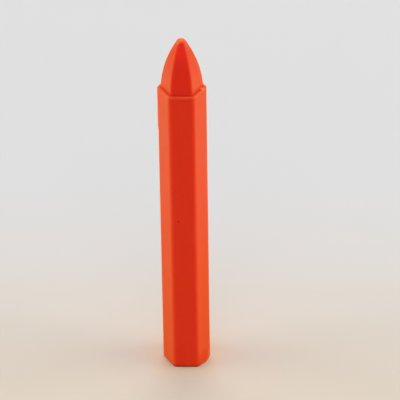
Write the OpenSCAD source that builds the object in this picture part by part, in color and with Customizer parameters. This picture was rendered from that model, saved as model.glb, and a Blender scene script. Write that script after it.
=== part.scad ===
// Wax marking crayon: one moulded stick with a six-sided body, a flat shoulder and a six-sided ogive tip.
// The butt end lies on z = 0, the stick runs along +Z, and one flat of the body faces -Y.

/* [Body] */
// Across flats of the six-sided body
body_af = 12.9; // [9:0.1:18]
// Length of the body, from the butt end to the shoulder
body_len = 98.3; // [70:0.1:150]
// Radius of the six long edges
arris_r = 1.4; // [0.3:0.05:2.5]
// Radius round the rim of the butt end
butt_r = 0.5; // [0.1:0.05:1.2]

/* [Shoulder] */
// Width of the flat shoulder round the foot of the tip, measured on a flat
shoulder_w = 0.9; // [0.5:0.05:2]
// Radius round the rim of the shoulder
shoulder_r = 0.3; // [0.05:0.05:0.4]

/* [Tip] */
// Length of the tip, from the shoulder to the blunt nose
tip_len = 16; // [10:0.1:30]
// How far each tip face already leans in at its foot, in degrees
foot_lean = 2; // [0:0.1:5]
// Width across flats at which the tip faces end in the blunt nose
nose_w = 2.2; // [1.4:0.1:3.5]
// Radius round the rim of the nose
nose_r = 0.6; // [0.1:0.05:0.65]
// Depth to which the sharp ridge between two tip faces is worn down
ridge_cut = 0.12; // [0.04:0.01:0.15]

/* [Flash line] */
// How far the flash line stands proud of the long edge on the -X side
flash_h = 0.13; // [0.05:0.01:0.2]
// How far down from the shoulder the flash line reaches
flash_len = 14.7; // [4:0.1:40]

/* [Moulding pit] */
// Radius of the air bubble that left a small pit in the front flat
pit_r = 0.32; // [0.2:0.02:0.8]
// How far the bubble's centre lies outside the flat
pit_lift = 0.1; // [0:0.02:0.15]
// Height of the pit above the butt end
pit_z = 54.5; // [10:0.5:65]
// Sideways place of the pit, positive towards +X
pit_x = -1.6; // [-2.5:0.1:2.5]

/* [Hidden] */
$fn = 48;

wax = "orangered";
sides = 6;
side_step = 360 / sides;
// A regular hexagon's corner lies this many times further from the axis than its flats
corner_ratio = 1 / cos(side_step / 2);

body_half = body_af / 2;
foot_half = body_half - shoulder_w;
nose_half = nose_w / 2;

// The long edges lie this far from the axis, and the flash line has a back this round
arris_reach = (body_half - arris_r) * corner_ratio + arris_r;
flash_r = 0.3;

// An arc starts on the shoulder at a given lean and distance from the axis, and ends at the nose.
// These give its radius, and its centre measured from the axis and from the shoulder.
function arc_turn(foot, nose, lean) = atan((foot - nose) / tip_len) - lean;
function arc_radius(foot, nose, lean) = norm([foot - nose, tip_len]) / (2 * sin(arc_turn(foot, nose, lean)));
function arc_centre(foot, radius, lean) = [foot - radius * cos(lean), -radius * sin(lean)];

// Each tip face is part of a cylinder that lies across the stick
face_r = arc_radius(foot_half, nose_half, foot_lean);
face_centre = arc_centre(foot_half, face_r, foot_lean);

// The ridge where two tip faces meet starts and ends further out, and leans in more
foot_corner = foot_half * corner_ratio;
nose_corner = nose_half * corner_ratio;
ridge_lean = atan(corner_ratio * tan(foot_lean));
ridge_r = arc_radius(foot_corner, nose_corner, ridge_lean);
ridge_centre = arc_centre(foot_corner - ridge_cut, ridge_r, ridge_lean);

// The rim of the nose is a ring of round section that the ridge arc runs into smoothly
rim_z = tip_len - nose_r;
rim_x = ridge_centre.x + sqrt(pow(ridge_r - nose_r, 2) - pow(rim_z - ridge_centre.y, 2));
rim_join = rim_z + nose_r * (rim_z - ridge_centre.y) / (ridge_r - nose_r);

// The tip is sunk this far into the body, so that the two become one solid
tip_sink = shoulder_w / 2;

// Facets on the long curves, which belong to far larger circles than the others
long_fn = 360;

// Hexagon with rounded corners, one flat towards -Y
module rounded_hexagon(half, corner_r) {
    inner = half - corner_r;
    for (k = [0 : sides - 1])
        rotate(k * side_step) {
            translate([-inner * tan(side_step / 2), -half])
                square([2 * inner * tan(side_step / 2), half]);
            rotate(side_step / 2)
                translate([0, -inner * corner_ratio])
                    circle(corner_r);
        }
}

// Upright rectangle with its own corner radius at the foot and at the head
module rounded_side(half, length, foot_r, head_r) {
    translate([-half, foot_r])
        square([2 * half, length - foot_r - head_r]);
    translate([foot_r - half, 0])
        square([2 * (half - foot_r), foot_r]);
    translate([head_r - half, length - head_r])
        square([2 * (half - head_r), head_r]);
    for (side = [-1, 1]) {
        translate([side * (half - foot_r), foot_r])
            circle(foot_r);
        translate([side * (half - head_r), length - head_r])
            circle(head_r);
    }
}

// Side view of a pair of opposite tip faces, from below the shoulder to the nose
module ogive_side() {
    intersection() {
        translate([-body_half, -tip_sink])
            square([body_af, tip_sink + tip_len]);
        intersection_for (side = [-1, 1])
            translate([side * face_centre.x, face_centre.y])
                circle(face_r, $fn = long_fn);
    }
}

// Keeps what all the pairs of opposite faces have in common
module across_all_flats() {
    intersection_for (k = [0 : sides / 2 - 1])
        rotate([0, 0, k * side_step])
            rotate([90, 0, 90])
                linear_extrude(body_af * 2, center = true)
                    children();
}

module body() {
    intersection() {
        linear_extrude(body_len)
            rounded_hexagon(body_half, arris_r);
        across_all_flats()
            rounded_side(body_half, body_len, butt_r, shoulder_r);
    }
}

// Turned shape that wears the ridges down and rounds the rim of the nose
module ridge_envelope() {
    rotate_extrude() {
        intersection() {
            translate(ridge_centre)
                circle(ridge_r, $fn = long_fn);
            translate([0, -tip_sink])
                square([body_half, tip_sink + rim_join]);
        }
        translate([0, rim_z])
            square([rim_x, nose_r]);
        intersection() {
            translate([rim_x, rim_z])
                circle(nose_r);
            translate([0, rim_z])
                square([rim_x + nose_r, nose_r]);
        }
    }
}

module tip() {
    intersection() {
        across_all_flats()
            ogive_side();
        ridge_envelope();
    }
}

// Flash left where the two halves of the mould met
module flash_line() {
    translate([flash_r - flash_h - arris_reach, 0, body_len - flash_len])
        cylinder(flash_len - shoulder_r, r = flash_r);
}

module crayon() {
    color(wax)
        difference() {
            union() {
                body();
                flash_line();
                translate([0, 0, body_len])
                    tip();
            }
            translate([pit_x, -body_half - pit_lift, pit_z])
                sphere(pit_r);
        }
}

crayon();
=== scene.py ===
import math

import bmesh
import bpy
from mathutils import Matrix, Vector


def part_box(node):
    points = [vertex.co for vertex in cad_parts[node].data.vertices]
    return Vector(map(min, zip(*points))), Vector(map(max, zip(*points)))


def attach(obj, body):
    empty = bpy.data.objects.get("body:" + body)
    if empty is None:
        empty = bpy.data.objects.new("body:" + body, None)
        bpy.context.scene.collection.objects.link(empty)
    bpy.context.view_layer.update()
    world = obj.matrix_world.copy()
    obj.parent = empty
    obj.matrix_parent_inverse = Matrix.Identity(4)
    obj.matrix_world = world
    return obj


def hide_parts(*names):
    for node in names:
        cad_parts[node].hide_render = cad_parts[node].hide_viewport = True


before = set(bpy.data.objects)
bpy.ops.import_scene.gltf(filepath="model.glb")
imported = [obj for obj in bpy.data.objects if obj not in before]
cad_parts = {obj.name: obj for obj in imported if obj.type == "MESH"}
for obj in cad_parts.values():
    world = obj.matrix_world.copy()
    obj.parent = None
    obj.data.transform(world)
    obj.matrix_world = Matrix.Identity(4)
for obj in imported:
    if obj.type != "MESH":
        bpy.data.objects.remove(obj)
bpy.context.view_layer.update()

# ---------------------------------------------------------------------------------------------
# Crayon
# One stick of pigmented wax, poured into a two-part mould: a straight six-sided body, a narrow
# flat shoulder, and six long curved faces that close to a blunt nose. Sizes are in mm here, and
# angles in radians.
# ---------------------------------------------------------------------------------------------

MM = 0.001
cad_low, cad_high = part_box("crayon")

crayon_sizes = {
    "Across flats": (cad_high.y - cad_low.y) / MM,
    "Whole length": (cad_high.z - cad_low.z) / MM,
    "Tip length": 16.0,
    "Shoulder width": 0.9,
    "Arris radius": 1.4,
    "Butt rim radius": 0.35,
    "Shoulder rim radius": 0.3,
    "Shoulder root radius": 0.42,
    "Foot lean": math.radians(2.0),
    "Nose width": 2.2,
    "Nose rim radius": 0.7,
    "Ridge radius": 0.8,
    "Nose ridge share": 0.65,
    "Hollow of the flats": 0.03,
    "Hollow of the butt": 0.15,
    "Flash height": 0.13,
    "Flash start": 83.6,
    "Flash half width": 0.22,
    "Seam height": 0.03,
    "Web height": 0.36,
    "Web place along": 1.4,
    "Web place outwards": 6.0,
    "Bruise height": 0.64,
    "Bruise place along": 0.3,
    "Bruise top": 5.0,
    "Waviness": 0.03,
    "Rim raggedness": 0.16,
}

# Rows of faces along each stretch of the outline, walked from the middle of the butt to the nose
ROWS = {
    "butt": 8,
    "butt rim": 6,
    "body": 190,
    "shoulder rim": 6,
    "shoulder": 6,
    "root": 5,
    "ogive": 90,
    "nose rim": 8,
    "nose": 6,
}
FLAT_COLUMNS = 8
ARRIS_COLUMNS = 12
SIDES = 6
SIXTH = math.tau / SIDES
QUARTER = math.pi / 2


def start_tree(name, sizes):
    """An empty geometry tree with one named input for each size."""
    tree = bpy.data.node_groups.new(name, "GeometryNodeTree")
    tree.is_modifier = True
    tree.interface.new_socket(name="Geometry", in_out="OUTPUT", socket_type="NodeSocketGeometry")
    for label, value in sizes.items():
        socket = tree.interface.new_socket(name=label, in_out="INPUT", socket_type="NodeSocketFloat")
        socket.default_value = value
    return tree


mould = start_tree("crayon_mould", crayon_sizes)
size = mould.nodes.new("NodeGroupInput").outputs


def feed(tree, socket, value):
    """Links a socket to another, or sets it to a plain value."""
    if isinstance(value, bpy.types.NodeSocket):
        tree.links.new(value, socket)
    else:
        socket.default_value = value


def new_node(tree, kind, **values):
    """A node with the named inputs fed."""
    node = tree.nodes.new(kind)
    for label, value in values.items():
        feed(tree, node.inputs[label.replace("_", " ")], value)
    return node


def calc(operation, *terms):
    """One sum of the crayon's tree, on sockets and numbers alike."""
    node = mould.nodes.new("ShaderNodeMath")
    node.operation = operation
    for socket, term in zip(node.inputs, terms):
        feed(mould, socket, term)
    return node.outputs[0]


def add(*terms):
    total = terms[0]
    for term in terms[1:]:
        total = calc("ADD", total, term)
    return total


def times(*terms):
    product = terms[0]
    for term in terms[1:]:
        product = calc("MULTIPLY", product, term)
    return product


def less(a, b):
    return calc("SUBTRACT", a, b)


def most(*terms):
    highest = terms[0]
    for term in terms[1:]:
        highest = calc("MAXIMUM", highest, term)
    return highest


def part_way(count, start, length):
    """How far a count has come through a stretch, from 0 before it to 1 after it."""
    node = new_node(mould, "ShaderNodeMapRange", Value=count, From_Min=start,
                    From_Max=start + length)
    return node.outputs["Result"]


def soft_step(value, start, end, tree=mould):
    """A smooth change from 0 at the start to 1 at the end, whichever of them is the greater."""
    node = new_node(tree, "ShaderNodeMapRange", Value=value, From_Min=start, From_Max=end)
    node.interpolation_type = "SMOOTHSTEP"
    return node.outputs["Result"]


def bell(value, middle, width):
    """A bell curve of height 1."""
    reach = calc("DIVIDE", less(value, middle), width)
    return calc("EXPONENT", times(reach, reach, -1.0))


def gap(a, b):
    """The distance spanned by two sides at right angles."""
    return calc("SQRT", add(times(a, a), times(b, b)))


# The outline and the section are laid over a plain grid: rows run up the stick, columns round it.
# Half a step is added before each rounding down, so that a whole number never loses one.
HALF_STEP = 0.5
per_side = 2 * FLAT_COLUMNS + ARRIS_COLUMNS
columns = SIDES * per_side
rows = sum(ROWS.values())
grid = mould.nodes.new("GeometryNodeMeshGrid")
grid.inputs["Vertices X"].default_value = rows + 1
grid.inputs["Vertices Y"].default_value = columns + 1
index = mould.nodes.new("GeometryNodeInputIndex").outputs[0]
row = calc("FLOOR", calc("DIVIDE", add(index, HALF_STEP), columns + 1))
column = less(index, times(row, columns + 1))

way = {}
begun = 0
for stretch, count in ROWS.items():
    way[stretch] = part_way(row, begun, count)
    begun += count

# Walk up the outline: how far out each row's flats are, and how high the row is
half = times(size["Across flats"], 0.5)
foot_half = less(half, size["Shoulder width"])
nose_half = times(size["Nose width"], 0.5)
body_length = less(size["Whole length"], size["Tip length"])
straight = less(body_length, add(size["Butt rim radius"], size["Shoulder rim radius"]))
butt_turn = times(way["butt rim"], QUARTER)
rim_turn = times(way["shoulder rim"], QUARTER)

# The long curve of a tip face is an arc with a given lean at its foot, and it aims at the nose.
# A hollow fillet leads into it from the shoulder, and a rounded rim leads out of it to the nose.
chord_lean = calc("ARCTAN2", less(foot_half, nose_half), size["Tip length"])
chord = gap(less(foot_half, nose_half), size["Tip length"])
face_radius = calc("DIVIDE", chord, times(calc("SINE", less(chord_lean, size["Foot lean"])), 2.0))
face_centre = less(foot_half, times(face_radius, calc("COSINE", size["Foot lean"])))


def bent(up_there, radius):
    """The lean at which a fillet of this radius, and centred this high, touches the long curve."""
    climbed = add(up_there, times(face_radius, calc("SINE", size["Foot lean"])))
    return calc("ARCSINE", calc("DIVIDE", climbed, add(face_radius, radius)))


root_radius = size["Shoulder root radius"]
rim_radius = size["Nose rim radius"]
root_lean = bent(root_radius, root_radius)
rim_lean = bent(less(size["Tip length"], rim_radius), times(rim_radius, -1.0))
root_foot = add(face_centre, times(add(face_radius, root_radius), calc("COSINE", root_lean)))

root_turn = times(way["root"], less(QUARTER, root_lean))
lean = add(root_lean, times(way["ogive"], less(rim_lean, root_lean)))
nose_turn = add(rim_lean, times(way["nose rim"], less(QUARTER, rim_lean)))
ogive_in = times(face_radius, less(calc("COSINE", root_lean), calc("COSINE", lean)))
ogive_up = times(face_radius, less(calc("SINE", lean), calc("SINE", root_lean)))
nose_in = times(rim_radius, less(calc("COSINE", rim_lean), calc("COSINE", nose_turn)))
nose_up = times(rim_radius, less(calc("SINE", nose_turn), calc("SINE", rim_lean)))

out_at_shoulder = add(
    times(way["butt"], less(half, size["Butt rim radius"])),
    times(size["Butt rim radius"], calc("SINE", butt_turn)),
    times(size["Shoulder rim radius"], less(calc("COSINE", rim_turn), 1.0)),
)
ledge = less(less(half, size["Shoulder rim radius"]), root_foot)
drawn_in = add(
    times(ledge, way["shoulder"]),
    times(root_radius, calc("SINE", root_turn)),
    ogive_in,
    nose_in,
)
out = times(less(out_at_shoulder, drawn_in), less(1.0, way["nose"]))

# The butt is hollow: it starts to rise this far out from the middle, and is level further in
BUTT_HOLLOW_START = 5.2
BUTT_HOLLOW_LEVEL = 2.0
up = add(
    times(size["Butt rim radius"], less(1.0, calc("COSINE", butt_turn))),
    times(straight, way["body"]),
    times(size["Shoulder rim radius"], calc("SINE", rim_turn)),
    times(root_radius, less(1.0, calc("COSINE", root_turn))),
    ogive_up,
    nose_up,
    times(size["Hollow of the butt"], soft_step(out, BUTT_HOLLOW_START, BUTT_HOLLOW_LEVEL),
          less(1.0, way["butt rim"])),
)

# The long edges are rounded by the arris radius on the body and by a smaller one on the tip,
# and never by less than this share of the distance out
LEAST_EDGE_SHARE = 0.1
body_edge = times(less(size["Arris radius"], most(less(half, out), 0.0)), less(1.0, way["shoulder"]))
tip_ridge = calc("MINIMUM", size["Ridge radius"], times(out, size["Nose ridge share"]))
tip_edge = times(tip_ridge, way["shoulder"])
edge = most(add(body_edge, tip_edge), times(out, LEAST_EDGE_SHARE))

# Walk round the section: half a flat, an arris, half the next flat, six times over
side = calc("FLOOR", calc("DIVIDE", add(column, HALF_STEP), per_side))
place = less(column, times(side, per_side))
first_flat = part_way(place, 0, FLAT_COLUMNS)
arris = part_way(place, FLAT_COLUMNS, ARRIS_COLUMNS)
next_flat = part_way(place, FLAT_COLUMNS + ARRIS_COLUMNS, FLAT_COLUMNS)
inner = less(out, edge)
inner_flat = times(inner, math.tan(SIXTH / 2))
swing = times(arris, SIXTH)

# The flats of the body are hollow across. The hollow starts over this share of the body above
# the butt, and ends at the shoulder's rim.
HOLLOW_RUN_IN = 0.05
hollow = times(
    size["Hollow of the flats"],
    soft_step(way["body"], 0.0, HOLLOW_RUN_IN),
    less(1.0, way["shoulder rim"]),
)
sunk_here = times(hollow, less(1.0, calc("POWER", first_flat, 2.0)))
sunk_next = times(hollow, less(1.0, calc("POWER", less(1.0, next_flat), 2.0)))
across = add(
    inner,
    times(inner_flat, next_flat, -math.sin(SIXTH)),
    times(edge, calc("COSINE", swing)),
    times(sunk_here, -1.0),
    times(sunk_next, -math.cos(SIXTH)),
)
along = add(
    times(inner_flat, first_flat),
    times(inner_flat, next_flat, math.cos(SIXTH)),
    times(edge, calc("SINE", swing)),
    times(sunk_next, -math.sin(SIXTH)),
)
facing = add(times(side, SIXTH), -QUARTER)
x = less(times(across, calc("COSINE", facing)), times(along, calc("SINE", facing)))
y = add(times(across, calc("SINE", facing)), times(along, calc("COSINE", facing)))

# The grid is laid round, turned to face outwards, and welded where its ends meet
WELD_GAP = 0.0005
laid = new_node(mould, "ShaderNodeCombineXYZ", X=x, Y=y, Z=up).outputs[0]
placed = new_node(mould, "GeometryNodeSetPosition", Geometry=grid.outputs["Mesh"], Position=laid)
turned = new_node(mould, "GeometryNodeFlipFaces", Mesh=placed.outputs[0])
stick = new_node(mould, "GeometryNodeMergeByDistance", Geometry=turned.outputs[0],
                 Distance=WELD_GAP)

# Where a point lies on the stick: how far out its flat is, how far it is from an arris, whether
# it faces sideways, and whether it is on the shoulder's rim. Each soft step from here on is told
# where a fault or mark starts and where it is full.
here = mould.nodes.new("GeometryNodeInputPosition").outputs[0]
spot = new_node(mould, "ShaderNodeSeparateXYZ", Vector=here).outputs
wide = calc("ABSOLUTE", spot["X"])
deep = calc("ABSOLUTE", spot["Y"])
LEAN_X = math.cos(SIXTH / 2)
LEAN_Y = math.sin(SIXTH / 2)
right_out = less(times(spot["X"], LEAN_X), times(spot["Y"], LEAN_Y))
right_along = add(times(spot["X"], LEAN_Y), times(spot["Y"], LEAN_X))
right_out_size = calc("ABSOLUTE", right_out)
left_out_size = calc("ABSOLUTE", add(times(spot["X"], LEAN_X), times(spot["Y"], LEAN_Y)))
flat_out = most(deep, right_out_size, left_out_size)
from_arris = calc("MINIMUM", calc("MINIMUM", deep, right_out_size), left_out_size)
over_shoulder = less(spot["Z"], body_length)
below_nose = less(size["Whole length"], spot["Z"])
sideways = soft_step(less(wide, times(deep, math.tan(SIXTH / 2))), -0.2, 0.5)
on_rim = times(
    soft_step(over_shoulder, -0.8, -0.2),
    soft_step(flat_out, add(foot_half, 0.15), add(foot_half, 0.5)),
)

CLOUD_DETAIL = 2.0


def clouds(length):
    """Noise from 0 to 1 with patches of this length."""
    noise = new_node(mould, "ShaderNodeTexNoise", Vector=here, Scale=1.0 / length,
                     Detail=CLOUD_DETAIL)
    return noise.outputs[0]


# Faults of the casting. The flats wave slowly where the wax shrank, and the shoulder's rim is
# ragged: it is eaten away where the clouds are below this level, and stands proud above it.
WAVE_LENGTH = 14.0
RAG_LENGTH = 1.1
RAG_LEVEL = 0.62
waves = times(size["Waviness"], clouds(WAVE_LENGTH), soft_step(spot["Z"], 0.0, 1.0), -1.0)
ragged = times(size["Rim raggedness"], less(clouds(RAG_LENGTH), RAG_LEVEL), on_rim)
outward = mould.nodes.new("GeometryNodeInputNormal").outputs[0]
swell = new_node(mould, "ShaderNodeVectorMath")
swell.operation = "SCALE"
feed(mould, swell.inputs[0], outward)
feed(mould, swell.inputs["Scale"], add(waves, ragged))

# The halves of the mould met along the two side edges. The wax is sunk on both sides of the
# seam, so that it shows as a faint line, and flash stands on the upper part of the left one.
at_seam = times(
    soft_step(wide, 0.5, 1.0),
    soft_step(spot["Z"], 0.4, 0.8),
    soft_step(below_nose, 0.5, 1.5),
)
beside_seam = times(soft_step(deep, 0.02, 0.18), soft_step(deep, 1.3, 0.5))
seam = times(size["Seam height"], beside_seam, at_seam, calc("SIGN", spot["X"]), -1.0)
FLASH_RUN_IN = 0.3
flash = times(
    size["Flash height"],
    soft_step(deep, size["Flash half width"], 0.0),
    soft_step(spot["Z"], add(size["Flash start"], -FLASH_RUN_IN),
              add(size["Flash start"], FLASH_RUN_IN)),
    soft_step(over_shoulder, -0.1, -0.3),
    calc("LESS_THAN", spot["X"], 0.0),
)

# A web of wax bridges the right corner of the shoulder, and the right front flat is bruised
# outwards at its foot. The web leans out over that flat by a share of its height.
WEB_HALF_WIDTH = 0.65
WEB_HALF_DEPTH = 0.5
WEB_LEAN_SHARE = 0.3
BRUISE_HALF_WIDTH = 2.6
web_patch = times(
    bell(right_along, size["Web place along"], WEB_HALF_WIDTH),
    bell(right_out, size["Web place outwards"], WEB_HALF_DEPTH),
    soft_step(calc("ABSOLUTE", over_shoulder), 1.2, 0.3),
)
web_here = soft_step(web_patch, 0.1, 0.7)
web = times(size["Web height"], web_here)
bruise = times(
    size["Bruise height"],
    bell(right_along, size["Bruise place along"], BRUISE_HALF_WIDTH),
    soft_step(spot["Z"], size["Bruise top"], 0.8),
    soft_step(right_out, 4.0, 6.2),
    soft_step(wide, 7.2, 6.5),
    soft_step(deep, 6.4, 5.8),
)
pushed = add(bruise, times(web, WEB_LEAN_SHARE))
faults = new_node(
    mould, "ShaderNodeCombineXYZ",
    X=add(seam, times(flash, -1.0), times(pushed, LEAN_X)),
    Y=times(pushed, -LEAN_Y),
    Z=web,
)
moved = new_node(mould, "ShaderNodeVectorMath")
moved.operation = "ADD"
feed(mould, moved.inputs[0], swell.outputs[0])
feed(mould, moved.inputs[1], faults.outputs[0])

# Where the wax is pale. The long edges and one rubbed spot by the nose are worn. The shoulder's
# rim is worn and also carries a painted highlight, strongest on the side faces; the side faces of
# the tip carry painted sheen; the web carries a painted highlight; the nose and the side faces
# just below it are painted paler. At a strength of 1 the wax is at its palest.
PATCH_LENGTH = 1.5
RIM_WEAR_AND_HIGHLIGHT = 0.1
RIM_PALE_PATCHES = 0.25
RIM_HIGHLIGHT_SIDEWAYS = 0.16
NOSE_PALE = 0.53
CHEEKS_PALE = 0.3
TIP_SHEEN = 0.16
TIP_SHEEN_PATCHES = 0.06
ARRIS_WORN = 0.1
RUB_WORN = 0.8
RUB_LEFT = 1.0
RUB_FORWARD = 0.6
RUB_BELOW_NOSE = 0.5
patch = clouds(PATCH_LENGTH)
on_tip = soft_step(over_shoulder, 0.3, 2.0)
# The shoulder's rim is worn and also carries a painted highlight, strongest on the side faces
rim_strength = add(RIM_WEAR_AND_HIGHLIGHT, times(patch, RIM_PALE_PATCHES), times(sideways, RIM_HIGHLIGHT_SIDEWAYS))
rim_worn = times(on_rim, rim_strength)
# The nose and the side faces just below it are painted paler
nose_worn = times(soft_step(below_nose, 0.6, 0.2), NOSE_PALE)
cheeks_worn = times(sideways, soft_step(below_nose, 6.0, 1.5), CHEEKS_PALE)
# Painted sheen on the side faces of the tip, where more light catches them
tip_worn = times(sideways, on_tip, add(TIP_SHEEN, times(patch, TIP_SHEEN_PATCHES)))
arris_worn = times(soft_step(from_arris, 0.8, 0.1), patch, ARRIS_WORN)
rub_level_gap = gap(add(spot["X"], RUB_LEFT), add(spot["Y"], RUB_FORWARD))
rub_gap = gap(rub_level_gap, less(below_nose, RUB_BELOW_NOSE))
rubbed = times(soft_step(rub_gap, 1.3, 0.3), RUB_WORN)
worn = most(rim_worn, nose_worn, cheeks_worn, tip_worn, arris_worn, rubbed, web_here)

# Painted light: the front and back faces of the tip are painted a brighter red towards the nose,
# where more light falls on them
painted_light = times(less(1.0, sideways), soft_step(below_nose, 7.0, 3.0))

# Painted shade: the wax is painted darker in the crease at the root of the tip, less so on the
# side faces, and a painted shadow lies behind the web
CREASE_SHADE = 0.3
CREASE_SHADE_LOST_SIDEWAYS = 0.9
BEHIND_WEB_ALONG = 0.75
BEHIND_WEB_OUTWARDS = 5.6
crease_gap = gap(less(flat_out, foot_half), over_shoulder)
shade_in_crease = times(
    soft_step(crease_gap, 0.6, 0.1),
    less(1.0, web_here),
    less(1.0, times(sideways, CREASE_SHADE_LOST_SIDEWAYS)),
)
web_shadow = times(
    bell(right_along, BEHIND_WEB_ALONG, 0.3),
    bell(right_out, BEHIND_WEB_OUTWARDS, 0.5),
    soft_step(over_shoulder, 1.4, 0.6),
)
painted_shade = most(times(shade_in_crease, patch, CREASE_SHADE), times(web_shadow, CREASE_SHADE))

# Painted shade darkens the foot where it meets the floor, in patches, most of all in front and
# behind
FOOT_SHADE_LEAST = 0.6
FOOT_SHADE_PATCHES = 0.8
FOOT_SHADE_ALL_ROUND = 0.3
FOOT_SHADE_FRONT_OR_BACK = 0.7
front_or_back = soft_step(deep, 5.0, 6.2)
foot_shade = times(
    soft_step(spot["Z"], 0.75, 0.2),
    add(FOOT_SHADE_ALL_ROUND, times(front_or_back, FOOT_SHADE_FRONT_OR_BACK)),
    add(FOOT_SHADE_LEAST, times(patch, FOOT_SHADE_PATCHES)),
)

shaped = stick.outputs[0]
masks = {"painted_light": painted_light, "worn": worn, "painted_shade": painted_shade, "foot_shade": foot_shade}
for label, value in masks.items():
    kept = mould.nodes.new("GeometryNodeStoreNamedAttribute")
    kept.data_type = "FLOAT"
    kept.domain = "POINT"
    feed(mould, kept.inputs["Geometry"], shaped)
    feed(mould, kept.inputs["Name"], label)
    feed(mould, kept.inputs["Value"], value)
    shaped = kept.outputs[0]
faulty = new_node(mould, "GeometryNodeSetPosition", Geometry=shaped, Offset=moved.outputs[0])
in_metres = new_node(mould, "GeometryNodeTransform", Geometry=faulty.outputs[0])
in_metres.inputs["Scale"].default_value = (MM, MM, MM)
smooth = new_node(mould, "GeometryNodeSetShadeSmooth", Geometry=in_metres.outputs[0])
real = new_node(mould, "GeometryNodeRealizeInstances", Geometry=smooth.outputs[0])
wax_slot = new_node(mould, "GeometryNodeSetMaterial", Geometry=real.outputs[0])
mould_end = mould.nodes.new("NodeGroupOutput")
mould.links.new(wax_slot.outputs[0], mould_end.inputs[0])

wax = bpy.data.materials.new("orange_red_wax")
wax.use_nodes = True
wax_slot.inputs["Material"].default_value = wax

blank = bpy.data.objects.new("blank", bpy.data.meshes.new("blank"))
bpy.context.scene.collection.objects.link(blank)
casting = blank.modifiers.new("casting", "NODES")
casting.node_group = mould
evaluated = blank.evaluated_get(bpy.context.evaluated_depsgraph_get())
crayon_mesh = bpy.data.meshes.new_from_object(evaluated)
bpy.data.objects.remove(blank)
crayon_mesh.name = "wax_crayon"
crayon = bpy.data.objects.new("wax_crayon", crayon_mesh)
bpy.context.scene.collection.objects.link(crayon)

# An air bubble left a small round pit in the front flat, so the mesh is made finer round it.
# The pit has a soft lip, which is raised at a little more than its radius from the middle.
PIT_X = -1.6 * MM
PIT_Z = 54.4 * MM
PIT_RADIUS = 0.4 * MM
PIT_DEPTH = 0.14 * MM
PIT_ROUNDNESS = 0.7
PIT_SHADE = 0.8
PIT_SHADE_RISE = 1.5
LIP_HEIGHT = 0.012 * MM
LIP_RADII_OUT = 1.2
LIP_HALF_WIDTH = 0.25
FINE_REACH = 0.9 * MM
FINE_CUTS = 5


def near_pit(point):
    """Whether a point lies on the front of the stick and beside the pit."""
    reach = max(abs(point.x - PIT_X), abs(point.z - PIT_Z))
    return point.y < 0 and reach < FINE_REACH


mesh = bmesh.new()
mesh.from_mesh(crayon_mesh)
shade_layer = mesh.verts.layers.float["painted_shade"]
bmesh.ops.recalc_face_normals(mesh, faces=mesh.faces)
pit_faces = [face for face in mesh.faces if near_pit(face.calc_center_median())]
pit_edges = {line for face in pit_faces for line in face.edges}
bmesh.ops.subdivide_edges(mesh, edges=sorted(pit_edges, key=lambda line: line.index),
                          cuts=FINE_CUTS, use_grid_fill=True)
for vertex in mesh.verts:
    if near_pit(vertex.co):
        away = math.hypot(vertex.co.x - PIT_X, vertex.co.z - PIT_Z) / PIT_RADIUS
        cup = max(0.0, 1.0 - away ** 2) ** PIT_ROUNDNESS
        lip = math.exp(-((away - LIP_RADII_OUT) / LIP_HALF_WIDTH) ** 2)
        vertex.co.y += PIT_DEPTH * cup - LIP_HEIGHT * lip
        # Painted shade darkens the inside of the pit, on the same layer as the crease's painted
        # shade
        vertex[shade_layer] = min(PIT_SHADE, PIT_SHADE_RISE * cup)
mesh.to_mesh(crayon_mesh)
mesh.free()

# The wax: one pigment throughout, faintly clouded and streaked along the stick, with a satin
# skin that is finely speckled. The masks tint it with painted light towards the nose, painted
# shade in the crease, the pit and round the foot, and paler where it is worn and where it
# carries painted highlight and sheen.
STREAK_STRETCH = 0.15
DEEP_RED = (0.79, 0.005, 0.008, 1)
LIGHTER_RED = (0.85, 0.008, 0.010, 1)
TINTS = {
    "painted_light": (0.93, 0.008, 0.010, 1),
    "painted_shade": (0.45, 0.004, 0.002, 1),
    "worn": (0.95, 0.20, 0.09, 1),
    "foot_shade": (0.2, 0.014, 0.007, 1),
}
wax_tree = wax.node_tree
wax_skin = wax_tree.nodes["Principled BSDF"]
wax_place = wax_tree.nodes.new("ShaderNodeTexCoord").outputs["Object"]
grain = new_node(wax_tree, "ShaderNodeMapping", Vector=wax_place)
grain.inputs["Scale"].default_value = (1 / MM, 1 / MM, STREAK_STRETCH / MM)
streaks = new_node(wax_tree, "ShaderNodeTexNoise", Vector=grain.outputs[0], Scale=1.2,
                   Detail=4.0)
colour = wax_tree.nodes.new("ShaderNodeMix")
colour.data_type = "RGBA"
colour.inputs["A"].default_value = DEEP_RED
colour.inputs["B"].default_value = LIGHTER_RED
wax_tree.links.new(streaks.outputs[0], colour.inputs["Factor"])
for label, tint in TINTS.items():
    mask = wax_tree.nodes.new("ShaderNodeAttribute")
    mask.attribute_name = label
    blend = wax_tree.nodes.new("ShaderNodeMix")
    blend.data_type = "RGBA"
    blend.inputs["B"].default_value = tint
    wax_tree.links.new(mask.outputs["Fac"], blend.inputs["Factor"])
    wax_tree.links.new(colour.outputs["Result"], blend.inputs["A"])
    colour = blend
wax_tree.links.new(colour.outputs["Result"], wax_skin.inputs["Base Color"])

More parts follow.
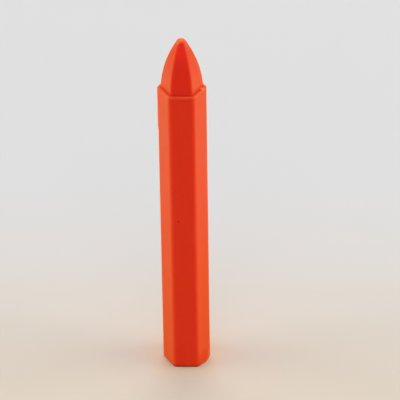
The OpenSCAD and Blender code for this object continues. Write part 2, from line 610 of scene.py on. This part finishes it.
satin = new_node(wax_tree, "ShaderNodeMapRange", Value=streaks.outputs[0], To_Min=0.36,
                 To_Max=0.54)
wax_tree.links.new(satin.outputs["Result"], wax_skin.inputs["Roughness"])
in_mm = new_node(wax_tree, "ShaderNodeMapping", Vector=wax_place)
in_mm.inputs["Scale"].default_value = (1 / MM, 1 / MM, 1 / MM)
speckle = new_node(wax_tree, "ShaderNodeTexNoise", Vector=in_mm.outputs[0], Scale=3.0,
                   Detail=3.0)
bump = new_node(wax_tree, "ShaderNodeBump", Height=speckle.outputs[0], Strength=0.7,
                Distance=0.04 * MM)
wax_tree.links.new(bump.outputs[0], wax_skin.inputs["Normal"])
wax_skin.inputs["Specular IOR Level"].default_value = 0.075
wax_skin.inputs["Subsurface Weight"].default_value = 1.0
wax_skin.inputs["Subsurface Radius"].default_value = (1.0, 0.5, 0.25)
wax_skin.inputs["Subsurface Scale"].default_value = 1.0 * MM
wax_skin.inputs["Sheen Weight"].default_value = 0.305
wax_skin.inputs["Sheen Roughness"].default_value = 0.6
wax_skin.inputs["Sheen Tint"].default_value = (1.0, 0.92, 0.0, 1)

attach(crayon, "root")
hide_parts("crayon")

# ---------------------------------------------------------------------------------------------
# Floor
# A wide painted board with a matt skin, which the stick stands on. It is warm and pale under
# the stick and neutral further back. Lengths from here on are in metres.
# ---------------------------------------------------------------------------------------------

FLOOR_REACH = 2.0
WARM_PAINT = (0.76, 0.68, 0.57, 1)
NEUTRAL_PAINT = (0.745, 0.745, 0.745, 1)
floor_corners = [
    (-FLOOR_REACH, -FLOOR_REACH, 0),
    (FLOOR_REACH, -FLOOR_REACH, 0),
    (FLOOR_REACH, FLOOR_REACH, 0),
    (-FLOOR_REACH, FLOOR_REACH, 0),
]
floor_mesh = bpy.data.meshes.new("floor")
floor_mesh.from_pydata(floor_corners, [], [(0, 1, 2, 3)])
floor = bpy.data.objects.new("floor", floor_mesh)
bpy.context.scene.collection.objects.link(floor)
floor_paint = bpy.data.materials.new("pale_floor")
floor_paint.use_nodes = True
paint_tree = floor_paint.node_tree
floor_skin = paint_tree.nodes["Principled BSDF"]
floor_skin.inputs["Roughness"].default_value = 0.8
floor_skin.inputs["Specular IOR Level"].default_value = 0.2
floor_place = paint_tree.nodes.new("ShaderNodeTexCoord").outputs["Object"]
floor_axes = new_node(paint_tree, "ShaderNodeSeparateXYZ", Vector=floor_place).outputs
tone = paint_tree.nodes.new("ShaderNodeMix")
tone.data_type = "RGBA"
tone.inputs["A"].default_value = WARM_PAINT
tone.inputs["B"].default_value = NEUTRAL_PAINT
further_back = soft_step(floor_axes["Y"], -0.03, 0.1, paint_tree)
paint_tree.links.new(further_back, tone.inputs["Factor"])

# Painted bounce light: close round the foot the board is painted warmer, as if lit by light
# thrown off the red wax
BOUNCE_PAINT = (0.79, 0.69, 0.53, 1)
distance = new_node(paint_tree, "ShaderNodeVectorMath")
distance.operation = "LENGTH"
paint_tree.links.new(floor_place, distance.inputs[0])
bounce_tone = paint_tree.nodes.new("ShaderNodeMix")
bounce_tone.data_type = "RGBA"
bounce_tone.inputs["A"].default_value = BOUNCE_PAINT
bounce_fade = soft_step(distance.outputs["Value"], 0.007, 0.017, paint_tree)
paint_tree.links.new(bounce_fade, bounce_tone.inputs["Factor"])
paint_tree.links.new(tone.outputs["Result"], bounce_tone.inputs["B"])
paint_tree.links.new(bounce_tone.outputs["Result"], floor_skin.inputs["Base Color"])

# Far from the stick the camera sees the floor in the tone of the world, so no edge shows
WORLD_TONE = 0.76
floor_seen = paint_tree.nodes.new("ShaderNodeLightPath").outputs["Is Camera Ray"]
far_off = soft_step(distance.outputs["Value"], 0.3, 0.8, paint_tree)
hidden = new_node(paint_tree, "ShaderNodeMath")
hidden.operation = "MULTIPLY"
paint_tree.links.new(far_off, hidden.inputs[0])
paint_tree.links.new(floor_seen, hidden.inputs[1])
haze = paint_tree.nodes.new("ShaderNodeEmission")
haze.inputs["Color"].default_value = (WORLD_TONE, WORLD_TONE, WORLD_TONE, 1)
surface = paint_tree.nodes.new("ShaderNodeMixShader")
paint_tree.links.new(hidden.outputs[0], surface.inputs[0])
paint_tree.links.new(floor_skin.outputs[0], surface.inputs[1])
paint_tree.links.new(haze.outputs[0], surface.inputs[2])
paint_tree.links.new(surface.outputs[0], paint_tree.nodes["Material Output"].inputs["Surface"])
floor_mesh.materials.append(floor_paint)

# ---------------------------------------------------------------------------------------------
# Light
# Five wide soft boxes, one on each side and one overhead, and two low cards that throw light up
# the sides. The camera sees the world brighter than the light that it gives.
# ---------------------------------------------------------------------------------------------

WORLD_LIGHT = 0.465
world = bpy.data.worlds.new("studio")
world.use_nodes = True
bpy.context.scene.world = world
backdrop = world.node_tree.nodes["Background"]
backdrop.inputs["Color"].default_value = (1, 1, 1, 1)
world_seen = world.node_tree.nodes.new("ShaderNodeLightPath").outputs["Is Camera Ray"]
strength = new_node(world.node_tree, "ShaderNodeMapRange", Value=world_seen, To_Min=WORLD_LIGHT,
                    To_Max=WORLD_TONE)
world.node_tree.links.new(strength.outputs["Result"], backdrop.inputs["Strength"])


def soft_box(name, stand, aim, width, height, watts):
    """A rectangular lamp that faces the point it is aimed at."""
    lamp = bpy.data.lights.new(name, "AREA")
    lamp.shape = "RECTANGLE"
    lamp.size = width
    lamp.size_y = height
    lamp.energy = watts
    box = bpy.data.objects.new(name, lamp)
    box.location = stand
    box.rotation_euler = (Vector(aim) - Vector(stand)).to_track_quat("-Z", "Y").to_euler()
    bpy.context.scene.collection.objects.link(box)
    return box


middle = (0, 0, 0.057)
soft_box("left_soft_box", (-2.1, 0, 0.9), middle, 1.5, 1.8, 16.6)
soft_box("right_soft_box", (2.1, 0, 0.9), middle, 1.5, 1.8, 20)
soft_box("front_soft_box", (0, -2.7, 1.5), middle, 2.4, 2.4, 13)
soft_box("back_soft_box", (0, 2.7, 1.5), middle, 2.4, 2.4, 33)
soft_box("top_soft_box", (0, 0.4, 2.8), middle, 1.6, 1.6, 7.6)
left_card = soft_box("left_card", (-0.17, 0.1, 0.001), (-0.17, 0.1, 1), 0.2, 0.3, 0.14)
right_card = soft_box("right_card", (0.17, 0.1, 0.001), (0.17, 0.1, 1), 0.2, 0.3, 0.174)
left_card.visible_camera = False
right_card.visible_camera = False

# ---------------------------------------------------------------------------------------------
# Camera
# A long lens, well back, looking down at the stick from a little to its right. It keeps the
# upright edges of the stick nearly parallel.
# ---------------------------------------------------------------------------------------------

camera_data = bpy.data.cameras.new("camera")
camera_data.lens = 297.99
camera_data.sensor_width = 36
camera_data.clip_end = 20
camera = bpy.data.objects.new("camera", camera_data)
camera.location = (0.031997, -0.829133, 0.61277)
camera.rotation_euler = [math.radians(angle) for angle in (56.22401, 0.71569, 1.39835)]
bpy.context.scene.collection.objects.link(camera)
bpy.context.scene.camera = camera
bpy.context.scene.view_settings.view_transform = "Standard"
